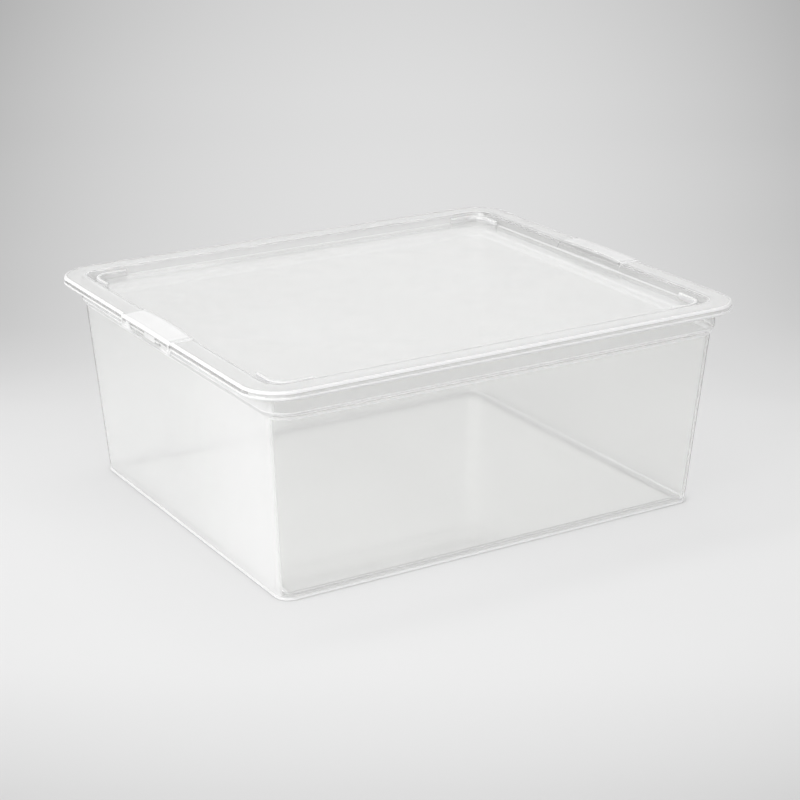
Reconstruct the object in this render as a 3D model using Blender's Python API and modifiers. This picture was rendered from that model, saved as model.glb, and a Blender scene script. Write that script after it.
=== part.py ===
"""Clear stackable storage box: a tapered tub and a lid that snaps over its rim.

Metres, +Z up. The long sides run along X. The origin is the middle of the tub's base.
"""

import math

import bmesh
import bpy
from mathutils import Matrix

# Overall sizes, taken over the lid's plain edges
LID_LENGTH = 0.390
LID_WIDTH = 0.337
BOX_HEIGHT = 0.155
LID_CORNER = 0.028

# Tub: how far the lid stands out over its shoulder, the shoulder, the taper of the walls, and the foot
OVERHANG_X = 0.0132
OVERHANG_Y = 0.0082
SHOULDER_DEPTH = 0.022
SHOULDER_STEP = 0.0028
SHOULDER_RISE = 0.003
TAPER_X = 0.0095
TAPER_Y = 0.01325
BASE_CORNER = 0.010
WALL_TOP_CORNER = 0.016
TUB_WALL = 0.0018
FOOT_FILLET = 0.0025
FOOT_BAND = 0.005
FLOOR_SLOPE = 0.001
FLOOR_LIFT = 0.001
RIM_FILLET = 0.0015
RIM_LIP = 0.0034

# Lid: its rim band, the slope down to its panel, and its skirt
LID_WALL = 0.0016
BAND_X = 0.0169
BAND_Y = 0.0165
BAND_CORNER = 0.013
PANEL_DEPTH = 0.006
SLOPE_X = 0.0032
SLOPE_Y = 0.005
EDGE_ROUND = 0.0012
SKIRT_DEPTH = 0.0055

# Lift tabs at the middle of the short sides, each with a snap bead inside its skirt
TAB_LENGTH = 0.074
TAB_END = 0.0012
TAB_BULGE = 0.0016
TAB_DROP = 0.0035
TAB_RISE_INNER = 0.0024
TAB_RISE_OUTER = 0.0008
TAB_END_RISE_SHARE = 0.4
BEAD_LENGTH = 0.050
BEAD_RADIUS = 0.0014
BEAD_ABOVE_EDGE = 0.002

# Stacking ridges that hold the foot of the box above
RIDGE_ARM = 0.028
RIDGE_WALL = 0.0022
RIDGE_HEIGHT = 0.0033
RIDGE_ROOT = 0.0008

# Clearances, and the smallest corner that an outline may have
SEAT_GAP = 0.0003
SKIRT_GAP = 0.0005
STACK_GAP = 0.001
LEAST_CORNER = 0.001

# Facets
CORNER_STEPS = 6
FILLET_STEPS = 3
BEAD_SIDES = 12
TAB_STATION_SHARES = (0.0, 0.25, 0.5, 0.75, 1.0)
SMOOTH_ANGLE = math.radians(35)

# Heights that follow from the sizes
RIM_TOP = BOX_HEIGHT - LID_WALL - SEAT_GAP
PANEL_TOP = BOX_HEIGHT - PANEL_DEPTH
WALL_TOP = BOX_HEIGHT - SHOULDER_DEPTH


def clear_scene():
    for item in list(bpy.data.objects):
        bpy.data.objects.remove(item, do_unlink=True)


def make_collection(name):
    collection = bpy.data.collections.new(name)
    bpy.context.scene.collection.children.link(collection)
    return collection


def clear_plastic(name, colour, roughness):
    """Colourless plastic that is looked through."""
    material = bpy.data.materials.new(name)
    material.use_nodes = True
    shader = material.node_tree.nodes["Principled BSDF"]
    shader.inputs["Base Color"].default_value = colour
    shader.inputs["Roughness"].default_value = roughness
    shader.inputs["Metallic"].default_value = 0.0
    shader.inputs["Transmission Weight"].default_value = 1.0
    return material


def add_object(name, bm, collection, material=None):
    """Turns a bmesh into a smooth-shaded object with sharp edges where its faces turn."""
    mesh = bpy.data.meshes.new(name)
    bm.to_mesh(mesh)
    bm.free()
    mesh.shade_smooth()
    mesh.set_sharp_from_angle(angle=SMOOTH_ANGLE)
    if material:
        mesh.materials.append(material)
    item = bpy.data.objects.new(name, mesh)
    collection.objects.link(item)
    return item


def add_wall(item, thickness, offset):
    """Gives a sheet its wall. Offset 1 puts it where the faces look, and -1 behind them."""
    wall = item.modifiers.new("wall", "SOLIDIFY")
    wall.thickness = thickness
    wall.offset = offset
    wall.use_even_offset = True
    wall.use_quality_normals = True


def add_mirror(item, across_y):
    mirror = item.modifiers.new("mirror", "MIRROR")
    mirror.use_axis = (True, across_y, False)
    mirror.use_mirror_merge = False


def join_to(item, tool):
    """Unions a shape into a piece. The shape itself stays only as a guide."""
    union = item.modifiers.new(tool.name, "BOOLEAN")
    union.operation = "UNION"
    union.solver = "EXACT"
    union.object = tool
    tool.hide_render = True
    tool.display_type = "WIRE"


def corner_arc(centre_x, centre_y, radius, start):
    """A quarter circle of points, anticlockwise from the angle start."""
    angles = [start + math.pi / 2 * step / CORNER_STEPS for step in range(CORNER_STEPS + 1)]
    return [(centre_x + radius * math.cos(a), centre_y + radius * math.sin(a)) for a in angles]


def outline(size, stations=()):
    """A rounded rectangle, anticlockwise, with extra points at the stations along both short sides."""
    half_x, half_y, radius = size
    x = half_x - radius
    y = half_y - radius
    points = [(half_x, station) for station in stations]
    points += corner_arc(x, y, radius, 0.0)
    points += corner_arc(-x, y, radius, math.pi / 2)
    points += [(-half_x, -station) for station in stations]
    points += corner_arc(-x, -y, radius, math.pi)
    points += corner_arc(x, -y, radius, math.pi * 3 / 2)
    return points


def grown(size, amount):
    """Half length, half width and corner radius of an outline moved outwards by amount."""
    half_x, half_y, radius = size
    return half_x + amount, half_y + amount, max(radius + amount, LEAST_CORNER)


def loft(rings):
    """One sheet through rings whose corners differ, closed by a flat face inside the first ring.

    Its faces look up where the rings go outwards.
    """
    bm = bmesh.new()
    loops = [[bm.verts.new(point) for point in ring] for ring in rings]
    bm.faces.new(loops[0])
    for inner, outer in zip(loops, loops[1:]):
        for here in range(len(inner)):
            there = (here + 1) % len(inner)
            bm.faces.new([inner[there], inner[here], outer[here], outer[there]])
    return bm


def lid_size(inset):
    """Half length, half width and corner radius of an outline inside the lid's outer edge."""
    return grown((LID_LENGTH / 2, LID_WIDTH / 2, LID_CORNER), -inset)


def tub_size(z):
    """The same three sizes of the tub's outside at height z, where its walls draw in towards the foot."""
    drawn_in = 1 - z / WALL_TOP
    half_x = LID_LENGTH / 2 - OVERHANG_X - SHOULDER_STEP - TAPER_X * drawn_in
    half_y = LID_WIDTH / 2 - OVERHANG_Y - SHOULDER_STEP - TAPER_Y * drawn_in
    return half_x, half_y, WALL_TOP_CORNER - (WALL_TOP_CORNER - BASE_CORNER) * drawn_in


def quarter_steps():
    """Sine and 1 minus cosine from 0 to 90 degrees, for fillets."""
    angles = [math.pi / 2 * step / FILLET_STEPS for step in range(FILLET_STEPS + 1)]
    return [(math.sin(angle), 1 - math.cos(angle)) for angle in angles]


def tub_levels():
    """Sizes and heights of the tub's outer face, from the floor up the walls and out to the rim's lip."""
    foot = tub_size(0.0)
    levels = [
        (grown(foot, -FOOT_FILLET - FOOT_BAND - FLOOR_SLOPE), FLOOR_LIFT),
        (grown(foot, -FOOT_FILLET - FOOT_BAND), 0.0),
    ]
    for along, up in quarter_steps():
        z = FOOT_FILLET * up
        levels.append((grown(tub_size(z), -FOOT_FILLET * (1 - along)), z))

    wall_top = tub_size(WALL_TOP)
    for step in range(FILLET_STEPS + 1):
        share = step / FILLET_STEPS
        out = SHOULDER_STEP * (1 - math.cos(math.pi * share)) / 2
        levels.append((grown(wall_top, out), WALL_TOP + SHOULDER_RISE * share))

    flange_under = RIM_TOP - TUB_WALL
    for along, up in quarter_steps():
        size = grown(wall_top, SHOULDER_STEP + RIM_FILLET * up)
        levels.append((size, flange_under - RIM_FILLET * (1 - along)))

    lip = lid_size(LID_WALL + SKIRT_GAP + TUB_WALL)
    levels.append((lip, flange_under))
    levels.append((lip, RIM_TOP - RIM_LIP))
    return levels


def make_tub(collection):
    bm = loft([[(x, y, z) for x, y in outline(size)] for size, z in tub_levels()])
    bmesh.ops.reverse_faces(bm, faces=bm.faces)
    tub = add_object("box_tub", bm, collection, clear_plastic("tub_plastic", (0.95, 0.96, 0.96, 1.0), 0.08))
    add_wall(tub, TUB_WALL, -1.0)


def tab_stations():
    """Places along a short side where the lift tab's outline has a point, from -Y to +Y."""
    ahead = [TAB_LENGTH / 2 * share for share in TAB_STATION_SHARES] + [TAB_LENGTH / 2 + TAB_END]
    return sorted({sign * y for y in ahead for sign in (-1, 1)})


def tab_share(y):
    """1 along the tab and 0 beyond its end walls."""
    return min(max((TAB_LENGTH / 2 + TAB_END - abs(y)) / TAB_END, 0.0), 1.0)


def tab_arch(y):
    """How far the tab's top is up: a step at each end and a crown between them."""
    crown = max(1 - (2 * y / TAB_LENGTH) ** 2, 0.0)
    return tab_share(y) * (TAB_END_RISE_SHARE + (1 - TAB_END_RISE_SHARE) * crown)


def lid_ring(size, z, rise=0.0, bulge=0.0, drop=0.0):
    """A ring of the lid's outer face. In the tabs it is lifted, pushed outwards or lowered."""
    return [
        (x + math.copysign(bulge * tab_share(y), x), y, z + rise * tab_arch(y) - drop * tab_share(y))
        for x, y in outline(size, tab_stations())
    ]


def lid_rings():
    """The lid's upper face, from its panel up to the band and over the edge down the skirt."""
    band = (LID_LENGTH / 2 - BAND_X, LID_WIDTH / 2 - BAND_Y, BAND_CORNER)
    panel = (band[0] - SLOPE_X, band[1] - SLOPE_Y, max(BAND_CORNER - SLOPE_X, LEAST_CORNER))
    rings = [lid_ring(panel, PANEL_TOP), lid_ring(band, BOX_HEIGHT, TAB_RISE_INNER)]
    for along, up in quarter_steps():
        size = lid_size(EDGE_ROUND * (1 - along))
        rings.append(lid_ring(size, BOX_HEIGHT - EDGE_ROUND * up, TAB_RISE_OUTER, TAB_BULGE))
    rings.append(lid_ring(lid_size(0.0), BOX_HEIGHT - SKIRT_DEPTH, 0.0, TAB_BULGE, TAB_DROP))
    return rings


def make_ridges(collection):
    """L-shaped ridges just outside the foot of the box above, at all four corners of the panel."""
    half_x, half_y, radius = grown(tub_size(0.0), STACK_GAP)
    path = [(half_x, half_y + RIDGE_WALL - RIDGE_ARM)]
    path += corner_arc(half_x - radius, half_y - radius, radius, 0.0)
    path += [(half_x + RIDGE_WALL - RIDGE_ARM, half_y)]
    bm = bmesh.new()
    root = [bm.verts.new((x, y, PANEL_TOP - RIDGE_ROOT)) for x, y in path]
    edges = [bm.edges.new(pair) for pair in zip(root, root[1:])]
    raised = bmesh.ops.extrude_edge_only(bm, edges=edges)["geom"]
    tops = [part for part in raised if isinstance(part, bmesh.types.BMVert)]
    bmesh.ops.translate(bm, verts=tops, vec=(0.0, 0.0, RIDGE_ROOT + RIDGE_HEIGHT))
    bm.normal_update()
    if bm.faces[:][0].normal.x < 0:
        bmesh.ops.reverse_faces(bm, faces=bm.faces)
    ridges = add_object("stacking_ridges", bm, collection)
    add_wall(ridges, RIDGE_WALL, 1.0)
    add_mirror(ridges, across_y=True)
    return ridges


def make_beads(collection):
    """A round bead inside each tab's skirt, below the tub's lip and clear of it."""
    bm = bmesh.new()
    bmesh.ops.create_cone(
        bm,
        cap_ends=True,
        segments=BEAD_SIDES,
        radius1=BEAD_RADIUS,
        radius2=BEAD_RADIUS,
        depth=BEAD_LENGTH,
    )
    x = LID_LENGTH / 2 + TAB_BULGE - LID_WALL
    z = BOX_HEIGHT - SKIRT_DEPTH - TAB_DROP + BEAD_ABOVE_EDGE
    place = Matrix.Translation((x, 0.0, z)) @ Matrix.Rotation(math.pi / 2, 4, "X")
    bmesh.ops.transform(bm, matrix=place, verts=bm.verts)
    beads = add_object("snap_beads", bm, collection)
    add_mirror(beads, across_y=False)
    return beads


def make_lid(collection, guides):
    bm = loft(lid_rings())
    lid = add_object("snap_lid", bm, collection, clear_plastic("lid_plastic", (0.97, 0.97, 0.97, 1.0), 0.1))
    add_wall(lid, LID_WALL, -1.0)
    join_to(lid, make_ridges(guides))
    join_to(lid, make_beads(guides))


def main():
    clear_scene()
    box = make_collection("stackable_storage_box")
    guides = make_collection("joined_shapes")
    make_tub(box)
    make_lid(box, guides)


main()
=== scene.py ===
# %% [markdown]
# # A clear storage box with a snap-on lid
# The box is two mouldings of clear, colourless plastic: a tub with walls that draw in towards its foot,
# and a lid that snaps over the tub's rim. The lid has a sunk panel with a small ridge at each corner, and
# the foot of the same box stands between those ridges when boxes are stacked.
# Clear plastic shows every wall twice, once on each face, so this lesson models real walls and lets the
# renderer bend the light. A single surface with a see-through colour would be quicker, but it has no thick
# bright edges, and those are what the eye reads as plastic. The renderer finds only some of that
# brightness, and the rest is painted on as a glow.

# %% Load the imported box
import math

import bmesh
import bpy
from mathutils import Matrix, Vector


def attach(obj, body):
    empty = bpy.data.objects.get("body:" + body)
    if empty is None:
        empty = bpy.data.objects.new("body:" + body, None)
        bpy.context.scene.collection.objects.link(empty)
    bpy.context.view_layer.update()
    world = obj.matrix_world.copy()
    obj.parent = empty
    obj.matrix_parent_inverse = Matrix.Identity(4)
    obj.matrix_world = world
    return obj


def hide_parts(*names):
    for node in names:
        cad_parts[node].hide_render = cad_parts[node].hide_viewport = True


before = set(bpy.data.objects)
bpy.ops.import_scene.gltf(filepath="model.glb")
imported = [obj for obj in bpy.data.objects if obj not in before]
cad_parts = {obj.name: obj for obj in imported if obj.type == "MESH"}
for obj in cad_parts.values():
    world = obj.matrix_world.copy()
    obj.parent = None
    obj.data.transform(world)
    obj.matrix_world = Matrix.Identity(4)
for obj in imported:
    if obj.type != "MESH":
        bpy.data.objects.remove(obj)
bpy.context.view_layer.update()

# %% [markdown]
# ## Outlines
# At every height the tub and the lid are rounded rectangles, so three numbers say a whole outline: half
# its length, half its width and its corner radius. Scaling a loop of points would squash the corner arcs
# into ellipses where the two sides draw in by different amounts. It is better to keep what belongs to a
# corner with its corner: each point has a nearest point on the straight-sided rectangle of the corner
# centres, and only that rectangle and the radius change.

# %% Move a loop from one outline to another
MM = 0.001
TOUCHING = 0.001 * MM


def grown(size, amount):
    """Half length, half width and corner radius of an outline moved outwards."""
    return size[0] + amount, size[1] + amount, size[2] + amount


def is_outside(point, size):
    """Whether a point is further out than the outline size."""
    over_x = max(abs(point.x) - (size[0] - size[2]), 0.0)
    over_y = max(abs(point.y) - (size[1] - size[2]), 0.0)
    return math.hypot(over_x, over_y) > size[2]


def centre_of(value, reach):
    """The nearest place to value between the corner centres, and whether it is a corner's own."""
    inside = max(-reach, min(reach, value))
    return inside, abs(value) >= reach - TOUCHING


def refit(points, old, new, z):
    """Moves points that lie on the outline old to the same places on the outline new, at height z."""
    reach_x, reach_y = old[0] - old[2], old[1] - old[2]
    for point in points:
        x, at_x_corner = centre_of(point.co.x, reach_x)
        y, at_y_corner = centre_of(point.co.y, reach_y)
        out_x = (point.co.x - x) / old[2]
        out_y = (point.co.y - y) / old[2]
        if at_x_corner:
            x = math.copysign(new[0] - new[2], x)
        if at_y_corner:
            y = math.copysign(new[1] - new[2], y)
        point.co = (x + out_x * new[2], y + out_y * new[2], z)


# %% [markdown]
# ## Sheets drawn up from a flat plate
# A thin moulding is quickest to build the way a potter pulls a wall: start with the flat middle as one
# face, then extrude its open edge outwards and upwards, loop by loop. Corners of the plate are rounded by
# a vertex bevel, which gives true quarter circles at a profile of 0.5. The later turns of the sheet are
# edge bevels with the same profile, so one function serves both.

# %% Plate and pulled wall
CORNER_SEGMENTS = 14
QUARTER_CIRCLE = 0.5


def soften(bm, parts, radius, segments, affect="EDGES"):
    """Rounds edges or corners, with the distance measured along the faces beside them."""
    bmesh.ops.bevel(
        bm,
        geom=parts,
        offset=radius,
        offset_type="OFFSET",
        segments=segments,
        profile=QUARTER_CIRCLE,
        affect=affect,
        clamp_overlap=False,
        material=-1,
    )


def plate(size, z):
    """A bmesh with one flat face of that outline, facing up."""
    bm = bmesh.new()
    bmesh.ops.create_grid(bm, x_segments=1, y_segments=1, size=1.0)
    bmesh.ops.scale(bm, vec=(size[0], size[1], 1.0), verts=bm.verts)
    bmesh.ops.translate(bm, vec=(0.0, 0.0, z), verts=bm.verts)
    soften(bm, bm.verts[:], size[2], CORNER_SEGMENTS, "VERTICES")
    return bm


def only(kind, parts):
    """The vertices, edges or faces among what an operator made."""
    return [part for part in parts if isinstance(part, kind)]


def open_edges(bm):
    return [edge for edge in bm.edges if edge.is_boundary]


def pull(bm, old, new, z):
    """Extrudes the sheet's open edge and moves the new loop to the outline new, at height z."""
    made = bmesh.ops.extrude_edge_only(bm, edges=open_edges(bm))["geom"]
    refit(only(bmesh.types.BMVert, made), old, new, z)
    return open_edges(bm)


# %% [markdown]
# ## The tub
# From below, the tub has a raised floor inside a flat foot band, walls that lean out, a small shoulder
# where they step out under the lid, and a rim that turns out flat and ends in a short lip. The walls' lean
# differs between the long and the short sides. Every turn of the sheet gets its own bevel, because
# moulded plastic has no sharp turn and the light collects in these small radii.

# %% Pull the tub's outer face
FOOT = (169.5 * MM, 144.25 * MM, 10.0 * MM)
FOOT_BAND = 7.5 * MM
FLOOR = grown(FOOT, -8.5 * MM)
FLOOR_Z = 1.0 * MM
SHOULDER = (179.0 * MM, 157.5 * MM, 16.0 * MM)
SHOULDER_Z = 133.0 * MM
COLLAR = grown(SHOULDER, 2.8 * MM)
COLLAR_Z = SHOULDER_Z + 3.0 * MM
RIM_Z = 153.1 * MM
TUB_WALL = 1.8 * MM
UNDER_RIM_Z = RIM_Z - TUB_WALL
LIP = (191.1 * MM, 164.6 * MM, 24.1 * MM)
TURN_SEGMENTS = 4

# Each level has an outline, a height and the radius of the turn there.
levels = [
    (grown(FOOT, -FOOT_BAND), 0.0, 0.6 * MM),
    (FOOT, 0.0, 2.5 * MM),
    (SHOULDER, SHOULDER_Z, 1.3 * MM),
    (COLLAR, COLLAR_Z, 1.3 * MM),
    (COLLAR, UNDER_RIM_Z, 1.5 * MM),
    (LIP, UNDER_RIM_Z, 0.0),
    (LIP, RIM_Z - 3.7 * MM, 0.0),
    (LIP, RIM_Z - 5.2 * MM, 0.0),
]
bm = plate(FLOOR, FLOOR_Z)
turns = [(open_edges(bm), 0.8 * MM)]
size = FLOOR
for outline, z, radius in levels:
    loop = pull(bm, size, outline, z)
    size = outline
    if radius:
        turns.append((loop, radius))
for loop, radius in turns:
    soften(bm, loop, radius, TURN_SEGMENTS)
print("tub sheet:", len(bm.faces), "faces")

# %% [markdown]
# ## From a sheet to a wall
# Solidify turns the sheet into a wall of even thickness. Its offset keeps the sheet itself as the outer
# face, so the outside stays where the CAD has it. The cut edge it leaves round the opening is square, and
# a moulded edge isn't, so that loop is found by the angle between its faces and rounded last. Working the
# modifier in first lets a bmesh bevel reach the edges that the modifier made.

# %% Wall thickness and rounded free edge
SHARP = math.radians(60)
FREE_EDGE_RADIUS = 0.35 * MM


def add_object(name, data):
    item = bpy.data.objects.new(name, data)
    bpy.context.scene.collection.objects.link(item)
    return item


def new_object(name, bm):
    mesh = bpy.data.meshes.new(name)
    bm.to_mesh(mesh)
    bm.free()
    return add_object(name, mesh)


def work_in(item):
    """Replaces an object's mesh by the mesh that its modifiers make, and drops the modifiers."""
    graph = bpy.context.evaluated_depsgraph_get()
    mesh = bpy.data.meshes.new_from_object(item.evaluated_get(graph))
    item.modifiers.clear()
    item.data = mesh


def give_wall(item, thickness):
    wall = item.modifiers.new("wall", "SOLIDIFY")
    wall.thickness = thickness
    wall.offset = -1.0
    wall.use_even_offset = True
    wall.use_quality_normals = True
    work_in(item)


def sharp_edges(bm):
    return [edge for edge in bm.edges if edge.calc_face_angle(0.0) > SHARP]


def soften_free_edge(item):
    """Rounds the square edge that Solidify leaves round the opening."""
    bm = bmesh.new()
    bm.from_mesh(item.data)
    sharp = sharp_edges(bm)
    soften(bm, sharp, FREE_EDGE_RADIUS, 2)
    bm.to_mesh(item.data)
    bm.free()
    print(item.name, "rounded edges:", len(sharp), "faces:", len(item.data.polygons))


bmesh.ops.reverse_faces(bm, faces=bm.faces)
tub = new_object("tub", bm)
give_wall(tub, TUB_WALL)
soften_free_edge(tub)

# %% [markdown]
# ## A bead round the foot
# The edge of a clear box's foot shows as a thin bright line, because a small solid bead runs round it and
# gathers light from the whole wall above. A bead is a ring: a loop of the foot's outline travels once
# round a small circle, and its end is merged with its start. A curve with a bevel depth would do the same,
# but it can't keep the corners concentric. The ring is then united with the tub, so that no surfaces cross
# inside the plastic, which would show in a clear material.

# %% Foot bead
BEAD_RADIUS = 0.9 * MM
BEAD_STEPS = 12
BEAD_LINE = grown(FOOT, -0.1 * MM)


def join_to(item, tool, operation="UNION"):
    """Unites a tool with an object, or cuts it out of the object, and removes the tool."""
    join = item.modifiers.new("join", "BOOLEAN")
    join.operation = operation
    join.solver = "EXACT"
    join.object = tool
    work_in(item)
    bpy.data.objects.remove(tool, do_unlink=True)


size = grown(BEAD_LINE, BEAD_RADIUS)
bm = plate(size, BEAD_RADIUS)
bmesh.ops.delete(bm, geom=bm.faces[:], context="FACES_ONLY")
front = bm.edges[:]
for step in range(1, BEAD_STEPS + 1):
    angle = step * 2 * math.pi / BEAD_STEPS
    outline = grown(BEAD_LINE, BEAD_RADIUS * math.cos(angle))
    made = bmesh.ops.extrude_edge_only(bm, edges=front)["geom"]
    refit(only(bmesh.types.BMVert, made), size, outline, BEAD_RADIUS * (1 + math.sin(angle)))
    front = [edge for edge in only(bmesh.types.BMEdge, made) if len(edge.link_faces) == 1]
    size = outline
bmesh.ops.remove_doubles(bm, verts=bm.verts, dist=TOUCHING)
bmesh.ops.recalc_face_normals(bm, faces=bm.faces)
print("foot bead:", len(bm.faces), "faces, open edges:", len(open_edges(bm)))
join_to(tub, new_object("foot bead", bm))

# %% [markdown]
# ## The lid's sheet
# The lid starts as its sunk panel. Around it the sheet slopes up to a flat rim band, turns over a rounded
# edge and ends in a short skirt, which draws in a little at a waist and comes out again at its hem. It is
# pulled and softened as a plain lid first, while every loop is still smooth, because a bevel that crosses
# a sudden step throws its points about. The lift tabs are formed in it afterwards, as a press would.

# %% Pull the plain lid
LID = (195.0 * MM, 168.5 * MM, 28.0 * MM)
WAIST = grown(LID, -0.4 * MM)
BAND = (178.1 * MM, 152.0 * MM, 13.0 * MM)
PANEL = (174.9 * MM, 147.0 * MM, 9.8 * MM)
TOP_Z = 155.0 * MM
PANEL_Z = 149.0 * MM
SKIRT = 5.5 * MM
WAIST_TOP = 2.3 * MM
WAIST_FOOT = 3.5 * MM
HEM_TOP = 4.3 * MM
LID_WALL = 1.6 * MM

bm = plate(PANEL, PANEL_Z)
foot_of_slope = open_edges(bm)
top_of_slope = pull(bm, PANEL, BAND, TOP_Z)
outer_edge = pull(bm, BAND, LID, TOP_Z)
pull(bm, LID, WAIST, TOP_Z - WAIST_TOP)
waist_foot = pull(bm, WAIST, WAIST, TOP_Z - WAIST_FOOT)
hem_top = pull(bm, WAIST, LID, TOP_Z - HEM_TOP)
pull(bm, LID, LID, TOP_Z - SKIRT)

# Each turn has a loop, a radius and a number of segments.
lid_turns = [
    (outer_edge, 1.9 * MM, 6),
    (waist_foot, 0.3 * MM, 2),
    (hem_top, 0.3 * MM, 2),
    (top_of_slope, 1.1 * MM, 4),
    (foot_of_slope, 0.8 * MM, 3),
]
for loop, radius, segments in lid_turns:
    soften(bm, loop, radius, segments)
print("plain lid sheet:", len(bm.faces), "faces")

# %% [markdown]
# ## Painted shade and glow on the lid
# In a clear lid some parts look greyer than the flat sheet and others brighter, by where the light inside
# the plastic goes. A renderer finds only some of that, so the rest is painted on: each face carries two
# shares from 0 to 1, set from the photograph: shade, the painted shade, for how grey it is, and bright, the
# painted glow, for how much it glows. They are written on the sheet while its parts are easy to tell by
# place, and the wall's inner face takes them over. Painting them on a picture would need an unwrapped lid
# and still blur over these narrow bands.

# %% Mark the parts of the lid's sheet
# Each marked part has a share of painted shade and a share of painted glow.
PAINTED_SHADE_AND_GLOW = {
    "waist at the ends": (0.6, 0.12),
    "waist at the sides": (0.12, 0.42),
    "hem": (0.0, 1.0),
    "right slope": (0.85, 0.0),
    "back slope": (0.3, 0.25),
    "other slopes and their foot": (0.1, 0.4),
}
MARGIN = 0.6 * MM


def part_of_lid(place):
    """The name of the marked part at a place on the lid's sheet, or None."""
    depth = TOP_Z - place.z
    if is_outside(place, grown(LID, -2.0 * MM)):
        if depth >= 3.9 * MM:
            return "hem"
        at_end = abs(place.x) > LID[0] - 2.0 * MM
        waist = "waist at the ends" if at_end else "waist at the sides"
        return waist if depth > 2.0 * MM else None
    in_slope = is_outside(place, grown(PANEL, MARGIN)) and not is_outside(place, grown(BAND, MARGIN))
    if in_slope and depth > 0.1 * MM and place.x > PANEL[0]:
        return "right slope"
    if in_slope and depth > 0.1 * MM and place.y > PANEL[1]:
        return "back slope"
    if is_outside(place, grown(PANEL, -2 * MARGIN)) and not is_outside(place, BAND):
        return "other slopes and their foot"
    return None


shade = bm.faces.layers.float.new("shade")
bright = bm.faces.layers.float.new("bright")
counts = dict.fromkeys(PAINTED_SHADE_AND_GLOW, 0)
for face in bm.faces:
    part = part_of_lid(face.calc_center_median())
    if part:
        face[shade], face[bright] = PAINTED_SHADE_AND_GLOW[part]
        counts[part] += 1
print("marked faces:", counts)

# %% [markdown]
# ## Lift tabs
# At the middle of both short sides the edge becomes a tab for the fingers: a step out and down at each
# end, and a low crown on top between the steps. The long faces have no points there, so planes cut the
# finished wall across first, closely at the steps and further apart under the crown. Each point then
# moves by how far out it lies, so both faces of the wall keep together.

# %% Give the lid its wall and cut it across
TAB_HALF = 39.0 * MM
TAB_END = 1.2 * MM
STEP_CUTS = 6
CROWN_CUTS = 14


def everything(bm):
    return bm.verts[:] + bm.edges[:] + bm.faces[:]


def cut_across(bm, places):
    """Cuts the whole mesh at these distances along Y, on both sides of the middle."""
    for y in sorted({sign * place for place in places for sign in (-1, 1)}):
        bmesh.ops.bisect_plane(bm, geom=everything(bm), plane_co=(0, y, 0), plane_no=(0, 1, 0))


lid = new_object("lid", bm)
give_wall(lid, LID_WALL)
soften_free_edge(lid)
bm = bmesh.new()
bm.from_mesh(lid.data)
step_places = [TAB_HALF + TAB_END * step / STEP_CUTS for step in range(STEP_CUTS + 1)]
crown_places = [TAB_HALF * step / CROWN_CUTS for step in range(CROWN_CUTS)]
cut_across(bm, step_places + crown_places)
print("lid cut across:", len(bm.faces), "faces")

# %% Form the tabs
TAB_OUT = 1.6 * MM
TAB_DOWN = 3.5 * MM
CROWN_INNER = 2.4 * MM
CROWN_OUTER = 0.8 * MM
CROWN_AT_STEPS = 0.4


def share_between(value, start, end):
    """0 at start, 1 at end, and between them in step."""
    return min(max((value - start) / (end - start), 0.0), 1.0)


def soft_share(value, start, end):
    """The same share, with a soft start and a soft end."""
    step = share_between(value, start, end)
    return step * step * (3 - 2 * step)


def form_tab(point):
    """Moves a point of the plain lid to its place on the lid with tabs."""
    x, y, z = point.co
    tab = soft_share(abs(y), TAB_HALF + TAB_END, TAB_HALF)
    arch = max(1 - (y / TAB_HALF) ** 2, 0.0)
    crown = tab * (CROWN_AT_STEPS + (1 - CROWN_AT_STEPS) * arch)
    up_slope = share_between(abs(x), PANEL[0], BAND[0])
    across = share_between(abs(x), BAND[0], LID[0] - LID_WALL)
    down = share_between(z, TOP_Z - LID_WALL, TOP_Z - SKIRT) if across == 1.0 else 0.0
    lift = CROWN_INNER * up_slope + (CROWN_OUTER - CROWN_INNER) * across
    point.co.x += math.copysign(TAB_OUT * across * tab, x)
    point.co.z += lift * (1 - down) * crown - TAB_DOWN * down * tab


for point in bm.verts:
    form_tab(point)
tab_reach = max(point.co.x for point in bm.verts)
bm.to_mesh(lid.data)
bm.free()
print("the tabs reach", round(tab_reach / MM, 1), "mm from the middle")

# %% [markdown]
# ## Stacking ridges
# Each corner of the panel has an L-shaped ridge that keeps the box above in place. A ridge is a small
# upright section that travels: straight along one arm, round the corner and along the other arm. Extrude
# and spin do just that with one face, and a bevel rounds what is left sharp.

# %% Corner ridges
RIDGE_INNER = (170.5 * MM, 145.25 * MM, 11.0 * MM)
RIDGE_WALL = 2.2 * MM
RIDGE_TOP = PANEL_Z + 4.5 * MM
RIDGE_ROOT = 0.8 * MM
RIDGE_ARM = 28.0 * MM
RIDGE_STEPS = 10
UPRIGHT = Matrix.Rotation(math.pi / 2, 3, "X")


def push(bm, faces, way):
    """Extrudes faces and moves the new ones by way, then returns them."""
    made = bmesh.ops.extrude_face_region(bm, geom=faces)["geom"]
    bmesh.ops.translate(bm, vec=way, verts=only(bmesh.types.BMVert, made))
    return only(bmesh.types.BMFace, made)


def mirror_all(bm, axis):
    """Adds the whole mesh's mirror image and merges nothing."""
    bmesh.ops.mirror(bm, geom=everything(bm), axis=axis, merge_dist=-1.0)


height = RIDGE_TOP - PANEL_Z + RIDGE_ROOT
corner_x, corner_y = RIDGE_INNER[0] - RIDGE_INNER[2], RIDGE_INNER[1] - RIDGE_INNER[2]
arm_end_x = RIDGE_INNER[0] + RIDGE_WALL - RIDGE_ARM
arm_end_y = RIDGE_INNER[1] + RIDGE_WALL - RIDGE_ARM
section_place = (RIDGE_INNER[0] + RIDGE_WALL / 2, arm_end_y, PANEL_Z - RIDGE_ROOT + height / 2)

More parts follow.
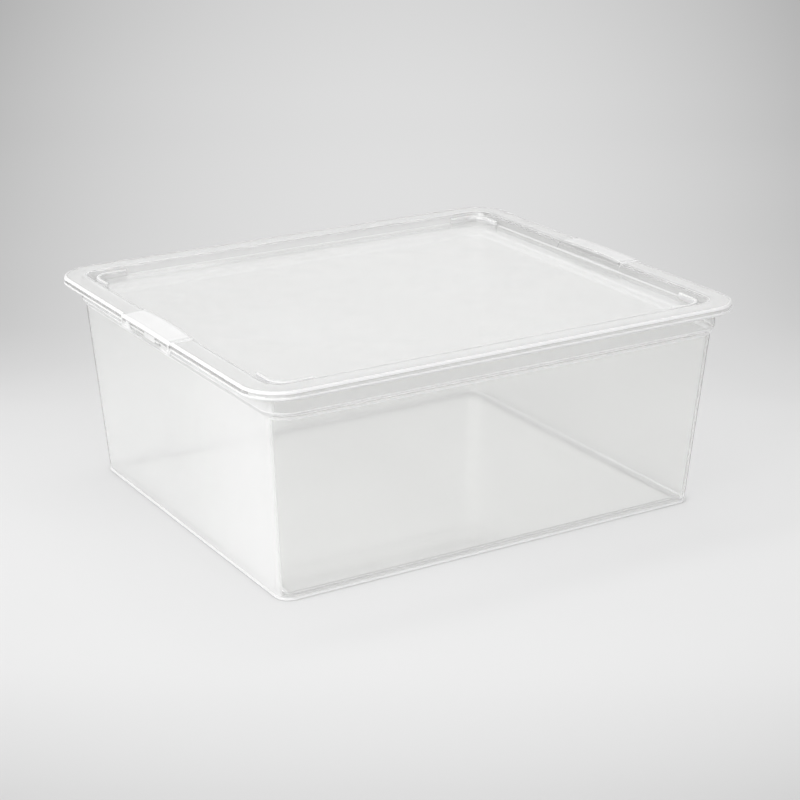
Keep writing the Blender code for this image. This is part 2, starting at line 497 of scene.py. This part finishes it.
bm = bmesh.new()
bmesh.ops.create_grid(bm, x_segments=1, y_segments=1, size=0.5)
bmesh.ops.scale(bm, vec=(RIDGE_WALL, height, 1.0), verts=bm.verts)
bmesh.ops.rotate(bm, cent=(0, 0, 0), matrix=UPRIGHT, verts=bm.verts)
bmesh.ops.translate(bm, vec=section_place, verts=bm.verts)
front = push(bm, bm.faces[:], (0, corner_y - arm_end_y, 0))
made = bmesh.ops.spin(
    bm,
    geom=front,
    cent=(corner_x, corner_y, 0),
    axis=(0, 0, 1),
    angle=math.pi / 2,
    steps=RIDGE_STEPS,
    use_duplicate=False,
)
push(bm, only(bmesh.types.BMFace, made["geom_last"]), (arm_end_x - corner_x, 0, 0))
inside = [face for face in bm.faces if all(len(edge.link_faces) > 2 for edge in face.edges)]
bmesh.ops.delete(bm, geom=inside, context="FACES_ONLY")
bmesh.ops.recalc_face_normals(bm, faces=bm.faces)
soften(bm, sharp_edges(bm), 0.5 * MM, 3)
mirror_all(bm, "X")
mirror_all(bm, "Y")
bmesh.ops.recalc_face_normals(bm, faces=bm.faces)
print("four ridges:", len(bm.faces), "faces, open edges:", len(open_edges(bm)))
ridges = new_object("ridges", bm)

# %% [markdown]
# ## Snap beads
# Inside each tab's skirt a round bead reaches towards the tub's lip. On the real box the skirt bends as
# the bead passes the lip, and that is the click that holds the lid on. A capped cylinder with softened ends
# has that shape. Half of it lies inside the skirt, as a moulded bead grows out of its wall.

# %% Beads inside the tabs' skirts
SNAP_RADIUS = 1.4 * MM
SNAP_LENGTH = 50.0 * MM
SNAP_Z = 148.0 * MM

bm = bmesh.new()
bmesh.ops.create_cone(
    bm, cap_ends=True, segments=20, radius1=SNAP_RADIUS, radius2=SNAP_RADIUS, depth=SNAP_LENGTH
)
soften(bm, sharp_edges(bm), 0.6 * MM, 3)
place = Matrix.Translation((LID[0], 0, SNAP_Z)) @ Matrix.Rotation(math.pi / 2, 4, "X")
bmesh.ops.transform(bm, matrix=place, verts=bm.verts)
mirror_all(bm, "X")
bmesh.ops.recalc_face_normals(bm, faces=bm.faces)
print("two snap beads:", len(bm.faces), "faces, open edges:", len(open_edges(bm)))
beads = new_object("beads", bm)

# %% [markdown]
# ## One moulding
# Ridges and beads are part of the lid's own plastic. Left as pieces that overlap, their hidden faces would
# bend light inside the lid and draw lines there that no real lid has, so exact booleans unite them with it.

# %% Join them to the lid
join_to(lid, ridges)
join_to(lid, beads)
print("lid with ridges and beads:", len(lid.data.polygons), "faces")

# %% [markdown]
# ## Windows in the tabs' skirts
# The tabs are thinner in three places, which the photograph shows as short dark dashes with bright ribs
# between them. A mould makes them with raised pads on the steel, and here they are cut the same way, by
# soft-edged blocks that leave half of the wall. The second tab's windows are the first one's turned half
# round, because a lid should fit either way.

# %% Press three shallow windows into each tab's skirt
WINDOW_DEEP = 0.8 * MM
WINDOW_HIGH = 3.4 * MM
WINDOW_Z = 150.9 * MM
BLOCK_WIDE = 4.0 * MM
HALF_ROUND = Matrix.Rotation(math.pi, 3, "Z")

# Each window has a middle along Y and a length.
WINDOWS = [(-13.5 * MM, 25.0 * MM), (27.0 * MM, 19.0 * MM), (-34.0 * MM, 6.0 * MM)]

bm = bmesh.new()
for middle_y, length in WINDOWS:
    made = bmesh.ops.create_cube(bm, size=1.0)["verts"]
    bmesh.ops.scale(bm, vec=(BLOCK_WIDE, length, WINDOW_HIGH), verts=made)
    place = (LID[0] + TAB_OUT + BLOCK_WIDE / 2 - WINDOW_DEEP, middle_y, WINDOW_Z)
    bmesh.ops.translate(bm, vec=place, verts=made)
soften(bm, bm.edges[:], 0.4 * MM, 3)
made = bmesh.ops.duplicate(bm, geom=everything(bm))["geom"]
bmesh.ops.rotate(bm, cent=(0, 0, 0), matrix=HALF_ROUND, verts=only(bmesh.types.BMVert, made))
bmesh.ops.recalc_face_normals(bm, faces=bm.faces)
join_to(lid, new_object("window tool", bm), "DIFFERENCE")
print("lid with windows:", len(lid.data.polygons), "faces")

# %% [markdown]
# ## Where the plastic turns
# Light that travels inside a clear wall comes out where the wall turns sharply, so the small radii of a
# clear moulding look white; here that white is painted on as a glow. To know where it goes, each face gets
# a
# second number, tight_turn: how fast the surface turns there, measured between neighbouring faces. Where a
# face has a share of painted shade or glow already, the glow share takes that number's place. The tub's
# foot and rim, and the lid's tabs, snap beads and ridges, get their painted shares here, because those
# parts are all in place only now.

# %% Mark the tight turns
SLIGHT_TURN = math.radians(8.0) / MM
FULL_TURN = math.radians(20.0) / MM


def turn_rate(face):
    """The fastest turn of the surface at a face's edges, measured over the face's own width."""
    rates = [0.0]
    for edge in face.edges:
        along = (edge.verts[1].co - edge.verts[0].co).normalized()
        own = face.calc_center_median() - edge.verts[0].co
        width = 2 * (own - along * own.dot(along)).length
        rates.append(edge.calc_face_angle(0.0) / max(width, 0.1 * MM))
    return max(rates)


def mark_turns(item, adjust):
    """Writes tight_turn, painted glow from 0 on flat faces to 1 on tight turns, and shade, how grey a face
    is painted.
    """
    bm = bmesh.new()
    bm.from_mesh(item.data)
    layers = bm.faces.layers.float
    shade, bright = (layers.get(name) or layers.new(name) for name in ("shade", "bright"))
    tight = layers.new("tight_turn")
    for face in bm.faces:
        face[tight] = share_between(turn_rate(face), SLIGHT_TURN, FULL_TURN)
        adjust(face, face.calc_center_median(), shade, bright)
        if face[bright] or face[shade]:
            face[tight] = face[bright]
    tight_faces = sum(face[tight] > 0.5 for face in bm.faces)
    print(item.name, "faces in tight turns:", tight_faces, "of", len(bm.faces))
    layers.remove(bright)
    bm.to_mesh(item.data)
    bm.free()


def adjust_tub(face, centre, shade, bright):
    """Paints glow on the bead and the lip, a line of shade beside the bead, and shade on the rim under the
    lid.
    """
    if centre.z < 1.75 * MM and is_outside(centre, grown(FOOT, -2.6 * MM)):
        if is_outside(centre, grown(FOOT, 0.05 * MM)):
            face[bright] = 1.0
        else:
            face[shade] = 0.2
    if centre.z > RIM_Z - 3.7 * MM:
        face[shade] = 0.45
    elif centre.z > 147.0 * MM and is_outside(centre, grown(LIP, -1.0 * MM)):
        face[bright] = 1.0


def on_snap_bead(centre):
    at_side = abs(abs(centre.x) - LID[0]) < 1.5 * MM and abs(centre.y) < SNAP_LENGTH / 2 + 0.1 * MM
    return at_side and centre.z < SNAP_Z + 1.5 * MM


def adjust_lid(face, centre, shade, bright):
    """Paints shade on the tabs' windows and snap beads, and glow on the rib between the windows and the
    ridges.
    """
    side_y = math.copysign(1.0, centre.x) * centre.y
    in_window = any(abs(side_y - middle) < length / 2 for middle, length in WINDOWS)
    on_tab = abs(centre.x) > LID[0] + 0.5 * MM and abs(centre.y) < TAB_HALF
    if on_tab and 149.0 * MM < centre.z < 152.7 * MM:
        face[shade], face[bright] = (1.0, 0.0) if in_window else (0.1, 0.7)
    elif on_tab and centre.z < 149.0 * MM:
        face[shade], face[bright] = 0.15, 0.3
    elif on_snap_bead(centre):
        face[shade], face[bright] = 0.4, 0.0
    in_ridges = not is_outside(centre, grown(RIDGE_INNER, RIDGE_WALL + 0.1 * MM))
    if in_ridges and centre.z > PANEL_Z + 0.3 * MM:
        face[bright] = 1.0 if centre.z > RIDGE_TOP - 0.6 * MM else 0.6


mark_turns(tub, adjust_tub)
mark_turns(lid, adjust_lid)

# %% [markdown]
# ## How clear plastic is built up
# Polished clear plastic bends light and has a faint haze, most of all where it has flowed far in the mould.
# Its tight turns are bright, because light that travels inside the wall leaves there. So three things are
# mixed: a glass-like surface, a soft white glow for the haze and as painted glow on tight turns, and, for a
# ray that meets the tub's wall edge-on, a grey see-through layer of painted shade, which darkens a wall
# seen along its length.
# Tracing shadows through solid walls would leave the floor black under the box. A plain see-through share
# for shadow and diffuse rays is quicker and truer: flat walls pass nearly all light and turns less.
# The helpers below only shorten the making of nodes.

# %% Helpers for nodes
def add_node(material, kind, **inputs):
    """Adds a node and sets the named inputs that are plain values."""
    node = material.node_tree.nodes.new(kind)
    for name, value in inputs.items():
        node.inputs[name.replace("_", " ")].default_value = value
    return node


def link(material, *sockets):
    """Links each output to the input after it."""
    for output, socket in zip(sockets[::2], sockets[1::2]):
        material.node_tree.links.new(output, socket)


def feed(material, value, socket):
    """Links an output to an input, or sets the input to a plain number."""
    if isinstance(value, bpy.types.NodeSocket):
        link(material, value, socket)
    else:
        socket.default_value = value


def add_math(material, operation, first, second=0.0):
    """A Math node. Each side is an output to link or a plain number."""
    node = add_node(material, "ShaderNodeMath")
    node.operation = operation
    for socket, value in zip(node.inputs, (first, second)):
        feed(material, value, socket)
    return node.outputs[0]


def product(material, first, *others):
    """An output times others, which are outputs or plain numbers."""
    for other in others:
        first = add_math(material, "MULTIPLY", first, other)
    return first


def add_range(material, value, low, high, to_low, to_high):
    """Takes value from low..high to to_low..to_high, smoothly at both ends."""
    node = add_node(material, "ShaderNodeMapRange", From_Min=low, From_Max=high)
    node.inputs["To Min"].default_value = to_low
    node.inputs["To Max"].default_value = to_high
    node.interpolation_type = "SMOOTHSTEP"
    link(material, value, node.inputs["Value"])
    return node.outputs[0]


# %% Helpers for whole surfaces
def add_mix(material, share, first, second):
    """Mixes two shaders: only the first at a share of 0, only the second at 1."""
    node = add_node(material, "ShaderNodeMixShader")
    feed(material, share, node.inputs[0])
    link(material, first, node.inputs[1], second, node.inputs[2])
    return node.outputs[0]


def add_attribute(material, name):
    """The number that each face carries under that name."""
    node = add_node(material, "ShaderNodeAttribute")
    node.attribute_name = name
    return node.outputs["Fac"]


def add_place(material):
    """The place on the object, as one vector and as x, y and z."""
    where = add_node(material, "ShaderNodeTexCoord").outputs["Object"]
    split = add_node(material, "ShaderNodeSeparateXYZ")
    link(material, where, split.inputs[0])
    return where, *split.outputs


def seen_directly(material):
    """1 for rays from the camera and for those that a clear or shiny surface passes on."""
    path = add_node(material, "ShaderNodeLightPath").outputs
    through = add_math(material, "MAXIMUM", path["Is Glossy Ray"], path["Is Transmission Ray"])
    return add_math(material, "MAXIMUM", path["Is Camera Ray"], through)


# %% [markdown]
# ## Where painted glow, whiteness and painted shade lie
# In the photograph the short wall is brighter than the long one, and more so towards the near corner, where
# the light falls on it; here that is a painted glow. The far corner gets the same here, so that the tub
# looks alike when it is turned half round. On the lid the crowns over the tabs are the whitest part. The
# painted shade of the edge layer stays off the tub's foot and off its step, whose turns would otherwise
# look like drawn lines. All of this goes by place on the object, in short smooth steps, and needs no
# picture.

# %% Shares that go by place
WALL_LEAN = 0.0714
SEEN_EDGE_ON = (0.69, 0.84)


def short_wall_painted_glow(material, x, y, z):
    """Painted glow: 0 on the tub's long walls, and 0.5 to 1 on its short walls, the most at two opposite
    corners.
    """
    drawn_in = product(material, z, -WALL_LEAN)
    foot_x = add_math(material, "ADD", add_math(material, "ABSOLUTE", x), drawn_in)
    on_short_wall = add_range(material, foot_x, 166.5 * MM, 169.2 * MM, 0.0, 1.0)
    growth = add_range(material, product(material, x, y), -0.004, 0.024, 0.5, 1.0)
    return product(material, on_short_wall, growth)


def crown_whiteness(material, x, y, z):
    """1 on top of the crowns over the lid's tabs, and 0 elsewhere."""
    far_x = add_range(material, add_math(material, "ABSOLUTE", x), 176.8 * MM, 180.5 * MM, 0.0, 1.0)
    near_y = add_range(material, add_math(material, "ABSOLUTE", y), 34.0 * MM, 40.2 * MM, 1.0, 0.0)
    on_top = add_range(material, z, 152.5 * MM, 153.5 * MM, 0.0, 1.0)
    return product(material, far_x, near_y, on_top)


def edge_on_share(material, z):
    """Share of painted shade: 1 where a ray meets the tub's wall or collar edge-on, and 0 at the foot and
    at the step.
    """
    facing = add_node(material, "ShaderNodeLayerWeight", Blend=0.5).outputs["Facing"]
    edge_on = add_range(material, facing, *SEEN_EDGE_ON, 0.0, 1.0)
    above_foot = add_range(material, z, 4.0 * MM, 8.0 * MM, 0.0, 1.0)
    below_step = add_range(material, z, 131.0 * MM, 132.0 * MM, 1.0, 0.0)
    above_step = add_range(material, z, 137.0 * MM, 138.0 * MM, 0.0, 1.0)
    on_wall = product(material, below_step, above_foot)
    return product(material, edge_on, add_math(material, "MAXIMUM", on_wall, above_step))


print("the edge layer sets in from a facing of", SEEN_EDGE_ON[0], "to", SEEN_EDGE_ON[1])

# %% [markdown]
# ## Polish, ripple and glow
# A slow noise makes the polish uneven, and a quicker one gives the walls the small ripple that a chilled
# surface keeps. The tint goes from the plastic's nearly white to grey with a face's painted shade. The
# glow, which the haze and the painted glow share, sends most of its light back and a little through, as
# thin hazy plastic does. Subsurface scattering would do that too, but it is slow and noisy in so thin a
# wall.

# %% Parts of the surface
CLEAR = (0.97, 0.972, 0.965, 1.0)
PAINTED_SHADE_GREY = (0.76, 0.76, 0.755, 1.0)
WHITE = (0.97, 0.97, 0.97, 1.0)
PLASTIC_IOR = 1.49
TRANSMISSION = 0.98
GLOW_THROUGH = 0.15


def add_polish(material, shader, where, roughness):
    """Uneven polish. Returns the noise, which the haze follows too."""
    flow = add_node(material, "ShaderNodeTexNoise", Scale=9.0, Detail=3.0, Roughness=0.55)
    link(material, where, flow.inputs["Vector"])
    polish = add_range(material, flow.outputs["Fac"], 0.3, 0.7, *roughness)
    link(material, polish, shader.inputs["Roughness"])
    return flow.outputs["Fac"]


def add_ripple(material, shader, where):
    ripple = add_node(material, "ShaderNodeTexNoise", Scale=45.0, Detail=1.0)
    bump = add_node(material, "ShaderNodeBump", Strength=0.25, Distance=0.04 * MM)
    link(material, where, ripple.inputs["Vector"], ripple.outputs["Fac"], bump.inputs["Height"])
    link(material, bump.outputs[0], shader.inputs["Normal"])


# The plastic's own faint tint, greyed where a face carries painted shade.
def add_tint_and_painted_shade(material, shader, shade):
    tint = add_node(material, "ShaderNodeMix")
    tint.data_type = "RGBA"
    tint.inputs["A"].default_value = CLEAR
    tint.inputs["B"].default_value = PAINTED_SHADE_GREY
    link(material, shade, tint.inputs["Factor"], tint.outputs["Result"], shader.inputs["Base Color"])


def add_glow(material):
    front = add_node(material, "ShaderNodeBsdfDiffuse", Color=WHITE)
    back = add_node(material, "ShaderNodeBsdfTranslucent", Color=WHITE)
    return add_mix(material, GLOW_THROUGH, front.outputs[0], back.outputs[0])


print("from", CLEAR[:3], "to", PAINTED_SHADE_GREY[:3], "with an index of", PLASTIC_IOR)

# %% [markdown]
# ## The two plastics
# Tub and lid are the same kind of plastic with different amounts of each effect. The tub is clear, but for
# the haze of its short walls. The lid is slightly milky, and most milky on the crowns of its tabs. Every
# amount is a share from 0 to 1. One function with those amounts as its inputs makes both, so the two can't
# drift apart.

# %% Materials
def clear_plastic(name, roughness, mist, painted_turn_glow, painted_wall_glow, top_whiteness, painted_collar_shade, painted_edge_shade):
    material = bpy.data.materials.new(name)
    material.use_nodes = True
    shader = material.node_tree.nodes["Principled BSDF"]
    shader.inputs["IOR"].default_value = PLASTIC_IOR
    shader.inputs["Transmission Weight"].default_value = TRANSMISSION
    where, x, y, z = add_place(material)
    path = add_node(material, "ShaderNodeLightPath").outputs
    turn = add_attribute(material, "tight_turn")
    flow = add_polish(material, shader, where, roughness)
    add_ripple(material, shader, where)
    # Painted shade on the tub's collar, which lies in the shade of the lid's rim.
    collar = add_range(material, z, 132.0 * MM, 138.0 * MM, 0.0, painted_collar_shade)
    add_tint_and_painted_shade(material, shader, add_math(material, "MAXIMUM", add_attribute(material, "shade"), collar))

    # Painted glow on the short walls, for camera rays only, whiter crowns and the lid's own uneven haze.
    on_walls = product(material, short_wall_painted_glow(material, x, y, z), painted_wall_glow, path["Is Camera Ray"])
    on_crowns = product(material, crown_whiteness(material, x, y, z), top_whiteness)
    all_over = add_range(material, flow, 0.35, 0.65, mist * 0.6, mist * 1.4)
    haze = add_math(material, "ADD", add_math(material, "ADD", on_walls, on_crowns), all_over)
    # Painted glow on tight turns and marked faces, where it is more than the haze.
    haze_and_painted_glow = add_math(material, "MAXIMUM", product(material, turn, painted_turn_glow), haze)
    plastic = add_mix(material, haze_and_painted_glow, shader.outputs[0], add_glow(material))

    flat = add_math(material, "SUBTRACT", 1.0, turn)
    # Painted shade: a grey see-through layer where a flat wall is seen edge-on.
    painted_edge_layer = add_node(material, "ShaderNodeBsdfTransparent", Color=PAINTED_SHADE_GREY)
    edge = product(material, edge_on_share(material, z), flat, painted_edge_shade)
    seen = add_mix(material, edge, plastic, painted_edge_layer.outputs[0])
    window = add_node(material, "ShaderNodeBsdfTransparent")
    link(material, add_range(material, turn, 0.0, 1.0, 0.97, 0.6), window.inputs["Color"])
    passing = add_math(material, "MAXIMUM", path["Is Shadow Ray"], path["Is Diffuse Ray"])
    surface = add_mix(material, passing, seen, window.outputs[0])
    link(material, surface, material.node_tree.nodes["Material Output"].inputs["Surface"])
    print(name, "nodes:", len(material.node_tree.nodes))
    return material


tub_plastic = clear_plastic(
    "tub_plastic",
    roughness=(0.045, 0.08),
    mist=0.0,
    painted_turn_glow=0.85,
    painted_wall_glow=0.55,
    top_whiteness=0.0,
    painted_collar_shade=0.3,
    painted_edge_shade=1.0,
)
lid_plastic = clear_plastic(
    "lid_plastic",
    roughness=(0.05, 0.09),
    mist=0.11,
    painted_turn_glow=0.95,
    painted_wall_glow=0.0,
    top_whiteness=0.6,
    painted_collar_shade=0.0,
    painted_edge_shade=0.0,
)
tub.data.materials.append(tub_plastic)
lid.data.materials.append(lid_plastic)

# %% [markdown]
# ## Into the shared frame
# Each moulding rides on the body that moves it and takes the place of the CAD's solid. Smooth shading with
# normals weighted by face size keeps the large flat walls flat up to their small bevels. Plain smooth
# shading would bend the walls' reflections near every edge.

# %% Bodies and nodes
for piece, node, body in ((tub, "box_tub", "tub"), (lid, "snap_lid", "lid")):
    piece.data.shade_smooth()
    even = piece.modifiers.new("even shading", "WEIGHTED_NORMAL")
    even.keep_sharp = True
    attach(piece, body)
    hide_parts(node)
    print(piece.name, "rides on", body, "and replaces", node)

# %% [markdown]
# ## Camera
# The camera stands where the photograph's perspective puts it: above the front left corner, about one and
# a half metres away, with a long lens. Its place and its angles are written out, because a point to look at
# would leave its small roll out.

# %% Camera
CAMERA_PLACE = Vector((-0.73576, -1.23684, 0.57714))
AZIMUTH = math.radians(-31.0014)
ELEVATION = math.radians(19.5279)
ROLL = math.radians(-0.1665)

level = math.cos(ELEVATION)
back = Vector((math.sin(AZIMUTH) * level, -math.cos(AZIMUTH) * level, math.sin(ELEVATION)))
right = Vector((math.cos(AZIMUTH), math.sin(AZIMUTH), 0.0))
up = back.cross(right)
x_axis = right * math.cos(ROLL) + up * math.sin(ROLL)
y_axis = up * math.cos(ROLL) - right * math.sin(ROLL)
camera = add_object("camera", bpy.data.cameras.new("camera"))
camera.data.lens = 92.44
camera.matrix_world = Matrix((
    (x_axis.x, y_axis.x, back.x, CAMERA_PLACE.x),
    (x_axis.y, y_axis.y, back.y, CAMERA_PLACE.y),
    (x_axis.z, y_axis.z, back.z, CAMERA_PLACE.z),
    (0, 0, 0, 1),
))
bpy.context.scene.camera = camera
print("camera:", round(CAMERA_PLACE.length, 2), "m away")

# %% [markdown]
# ## Studio floor
# The box stands on a wide sheet of pale paper. In the photograph the paper is lightest in front of the box
# and darkens towards both sides behind it. Lamps could do that, but they would change the box's shading
# too, so that light and shade is painted on the paper: ramps along the line of sight say how light the
# painted paper is, how much painted shade darkens it to the sides and which side is the darker. Behind the
# box it fades into a backdrop that glows with the same painted light and shade, and only the camera and
# rays through clear or shiny surfaces see that. Far away it ends in the same pale grey as the world's
# horizon, so no edge shows.

# %% Helper for a number that changes along the paper
def add_ramp(material, value, stops):
    """A smooth curve through stops, which are pairs of a value and the number there."""
    low, high = stops[0][0], stops[-1][0]
    ramp = add_node(material, "ShaderNodeValToRGB")
    ramp.color_ramp.interpolation = "CARDINAL"
    spread = add_node(material, "ShaderNodeMapRange", From_Min=low, From_Max=high)
    link(material, value, spread.inputs["Value"], spread.outputs[0], ramp.inputs[0])
    elements = ramp.color_ramp.elements
    for place, _ in stops[1:-1]:
        elements.new((place - low) / (high - low))
    for element, (place, number) in zip(elements, stops):
        element.position = (place - low) / (high - low)
        element.color = (number, number, number, 1.0)
    return ramp.outputs[0]


# Distances along the line of sight in metres from the box's middle, each with a grey of painted light or a
# share of painted side shade.
NEAR_PAINTED_LIGHT = [
    (-0.6, 0.56),
    (-0.45, 0.68),
    (-0.33, 0.80),
    (-0.2, 0.84),
    (0.0, 0.85),
    (0.9, 0.85),
    (2.4, 0.85),
]
FAR_PAINTED_LIGHT = [(-0.6, 0.78), (0.5, 0.78), (0.9, 0.75), (1.2, 0.73), (1.6, 0.718), (2.4, 0.68)]
SIDE_PAINTED_SHADE = [
    (-0.6, 0.06),
    (-0.45, 0.06),
    (-0.17, 0.02),
    (0.1, 0.03),
    (0.2, 0.08),
    (0.39, 0.21),
    (0.7, 0.25),
    (1.2, 0.295),
    (2.4, 0.35),
]
SIDE_PAINTED_TILT = [(-0.6, -0.12), (-0.1, -0.12), (0.2, 0.12), (0.39, 0.25), (0.7, 0.12), (1.2, 0.05), (2.4, 0.05)]
print("ramp stops:", [len(stops) for stops in (NEAR_PAINTED_LIGHT, FAR_PAINTED_LIGHT, SIDE_PAINTED_SHADE, SIDE_PAINTED_TILT)])

# %% Paper with a soft gradient
FLOOR_HALF = 14.0
HORIZON = 0.8
LINE_OF_SIGHT = math.radians(31.0)
CAMERA_BACK = 1.44

bm = bmesh.new()
bmesh.ops.create_grid(bm, x_segments=1, y_segments=1, size=FLOOR_HALF)
floor = new_object("floor", bm)
paper = bpy.data.materials.new("pale_paper")
paper.use_nodes = True
shader = paper.node_tree.nodes["Principled BSDF"]
shader.inputs["Roughness"].default_value = 0.9
shader.inputs["Specular IOR Level"].default_value = 0.0
where = add_node(paper, "ShaderNodeTexCoord").outputs["Object"]
turned = add_node(paper, "ShaderNodeMapping")
turned.inputs["Rotation"].default_value = (0.0, 0.0, LINE_OF_SIGHT)
split = add_node(paper, "ShaderNodeSeparateXYZ")
link(paper, where, turned.inputs[0], turned.outputs[0], split.inputs[0])
aside, away = split.outputs[0], split.outputs[1]

# Painted light and shade on the paper, by place along and across the line of sight.
near = add_ramp(paper, away, NEAR_PAINTED_LIGHT)
far = add_ramp(paper, away, FAR_PAINTED_LIGHT)
fall = add_ramp(paper, away, SIDE_PAINTED_SHADE)
tilt = add_ramp(paper, away, SIDE_PAINTED_TILT)
distance = add_math(paper, "MAXIMUM", add_math(paper, "ADD", away, CAMERA_BACK), 0.4)
slant = add_math(paper, "DIVIDE", aside, distance)
spread = add_math(paper, "POWER", product(paper, slant, 5.0), 2.0)
painted_side_shade = product(paper, fall, add_math(paper, "MINIMUM", spread, 1.25))
evenness = add_math(paper, "SUBTRACT", 1.0, painted_side_shade)
edge = add_math(paper, "ADD", evenness, product(paper, tilt, slant))
print("paper:", len(paper.node_tree.nodes), "nodes")

# %% Backdrop behind the paper
length = add_node(paper, "ShaderNodeVectorMath")
length.operation = "LENGTH"
link(paper, where, length.inputs[0])
far_out = add_range(paper, length.outputs["Value"], 2.6, 5.0, 0.0, 1.0)
near = add_math(paper, "MAXIMUM", near, add_range(paper, away, -1.3, -0.5, 0.85, 0.0))
link(paper, product(paper, near, edge), shader.inputs["Base Color"])

glow = add_node(paper, "ShaderNodeEmission")
glow_grey = add_math(paper, "MAXIMUM", product(paper, far, edge), product(paper, far_out, HORIZON))
link(paper, glow_grey, glow.inputs["Color"])
backdrop = add_math(paper, "MAXIMUM", add_range(paper, away, 0.45, 1.05, 0.0, 1.0), far_out)
behind = product(paper, backdrop, seen_directly(paper))
surface = add_mix(paper, behind, shader.outputs[0], glow.outputs[0])
link(paper, surface, paper.node_tree.nodes["Material Output"].inputs["Surface"])
floor.data.materials.append(paper)
print("paper with backdrop:", len(paper.node_tree.nodes), "nodes")

# %% [markdown]
# ## Light
# Clear plastic takes its form from what it bends and mirrors, so even light from all around comes first,
# a little stronger from behind, which keeps the walls bright. Three large softboxes add the rest: one
# overhead for the lid, one in front for the long wall and one at the left for the short wall. They are
# wide and far, so their shadows are as soft as the photograph's.

# %% Light from all around
BRIGHT_SIDE = (0.485, 0.81, 0.33)

world = bpy.data.worlds.new("studio")
bpy.context.scene.world = world
world.use_nodes = True
background = world.node_tree.nodes["Background"]
background.inputs["Color"].default_value = (1, 1, 1, 1)
where = add_node(world, "ShaderNodeTexCoord").outputs["Generated"]
toward_back = add_node(world, "ShaderNodeVectorMath")
toward_back.operation = "DOT_PRODUCT"
toward_back.inputs[1].default_value = BRIGHT_SIDE
height = add_node(world, "ShaderNodeSeparateXYZ")
link(world, where, toward_back.inputs[0], where, height.inputs[0])
as_light = add_range(world, toward_back.outputs["Value"], -0.4, 0.9, 0.35, 0.6)
as_seen = add_range(world, height.outputs[2], 0.0, 0.25, HORIZON, 1.0)
strength = add_node(world, "ShaderNodeMix")
link(world, seen_directly(world), strength.inputs["Factor"])
link(world, as_light, strength.inputs["A"], as_seen, strength.inputs["B"])
link(world, strength.outputs[0], background.inputs["Strength"])
print("world:", len(world.node_tree.nodes), "nodes")

# %% Softboxes
AIM = Vector((0.0, 0.0, 0.1))

# Each softbox has a name, a place, a width, a height and a radiance.
SOFTBOXES = [
    ("overhead softbox", (0.1, 0.6, 2.4), 1.8, 0.4, 3.0),
    ("front softbox", (-0.2, -2.4, 1.5), 1.6, 0.6, 8.0),
    ("left softbox", (-3.0, -0.4, 1.75), 2.4, 1.6, 6.0),
]


def softbox(name, place, width, height, radiance):
    data = bpy.data.lights.new(name, "AREA")
    data.shape = "RECTANGLE"
    data.size = width
    data.size_y = height
    data.energy = radiance * math.pi * width * height
    lamp = add_object(name, data)
    lamp.location = place
    lamp.rotation_mode = "QUATERNION"
    lamp.rotation_quaternion = (Vector(place) - AIM).to_track_quat("Z", "Y")
    lamp.visible_camera = False
    print(name, "power:", round(data.energy, 1), "W")


for name, place, width, height, radiance in SOFTBOXES:
    softbox(name, place, width, height, radiance)

# %% [markdown]
# ## Finish
# A ray through the closed box meets many faces of clear wall, one after another, so it needs more bounces
# than a renderer gives by itself.

# %% Bounces and the end
scene = bpy.context.scene
scene.view_settings.view_transform = "Standard"
scene.cycles.max_bounces = 24
scene.cycles.transmission_bounces = 24
scene.cycles.transparent_max_bounces = 32
